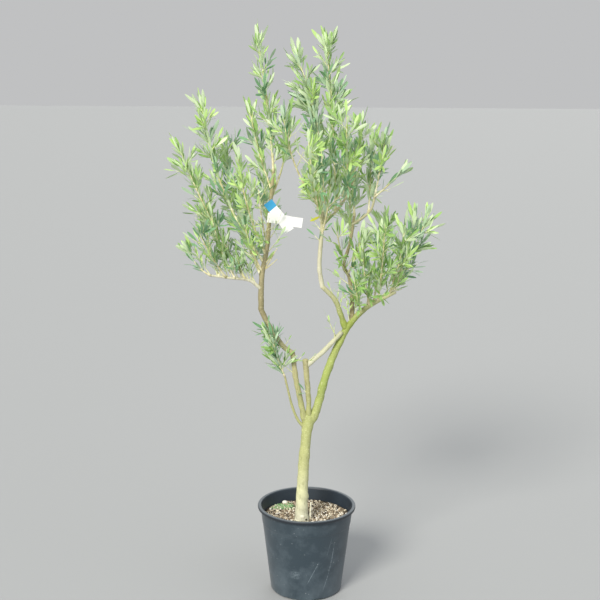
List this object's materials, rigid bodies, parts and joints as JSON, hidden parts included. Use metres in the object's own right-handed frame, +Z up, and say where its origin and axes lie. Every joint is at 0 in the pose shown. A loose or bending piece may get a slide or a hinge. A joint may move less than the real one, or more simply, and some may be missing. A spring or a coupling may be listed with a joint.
{
  "type": "potted olive tree",
  "caption": "Young olive tree with forked trunk, open crown of narrow leaves and a blank plant label, planted in a round tapered nursery pot.",
  "frame": {"origin": "middle of the pot's flat underside", "axes": "+Z up along the pot's axis, +X to the right and +Y away from the viewer in the picture"},
  "size_m": [0.6251, 0.314, 1.3697],
  "materials": {
    "pot_plastic": "matt moulded dark blue-grey polypropylene, scuffed",
    "potting_mix": "bark chips with grit and pumice, some moss",
    "bark": "young smooth bark, green and tan with fine scars",
    "foliage": "leathery leaves, grey-green above and silvery beneath",
    "label": "blank white plant label with a plain blue end"
  },
  "bodies": {
    "root": {"pot": "pot_plastic", "soil": "potting_mix", "dead_stub": "bark", "trunk": "bark", "right_bough": "bark", "middle_stub": "bark", "diagonal_limb": "bark", "left_bough_low": "bark", "low_shoot": "bark", "left_bough": "bark", "left_leader": "bark", "low_left_branch": "bark", "arm_left_low": "bark", "arm_left": "bark", "arm_left_fork": "bark", "arm_middle": "bark", "arm_right": "bark", "arm_right_tip": "bark", "upper_right_arm": "bark", "label": "label", "leaves_left_low": "foliage", "leaves_left_front": "foliage", "leaves_left_centre": "foliage", "leaves_left_long": "foliage", "leaves_left_back": "foliage", "leaves_left_under": "foliage", "leaves_left_tall": "foliage", "leaves_left_inner": "foliage", "leaves_left_rear": "foliage", "leaves_leader_front": "foliage", "leaves_leader_back": "foliage", "leaves_leader_left": "foliage", "leaves_leader_top": "foliage", "leaves_leader_right": "foliage", "leaves_leader_spur": "foliage", "leaves_crossing": "foliage", "leaves_centre_left": "foliage", "leaves_centre_right": "foliage", "leaves_centre_low": "foliage", "leaves_fork_top": "foliage", "leaves_centre_front": "foliage", "leaves_centre_back": "foliage", "leaves_fork_front": "foliage", "leaves_right_upper": "foliage", "leaves_lone_twig": "foliage", "leaves_right_upper_back": "foliage", "leaves_middle_top": "foliage", "leaves_middle_left": "foliage", "leaves_middle_right": "foliage", "leaves_middle_back": "foliage", "leaves_right_outer": "foliage", "leaves_right_mid": "foliage", "leaves_right_mid_front": "foliage", "leaves_right_front": "foliage", "leaves_right_inner": "foliage", "leaves_right_low_front": "foliage", "leaves_right_back": "foliage", "leaves_right_low": "foliage", "leaves_low_shoot": "foliage"}
  },
  "joints": []
}
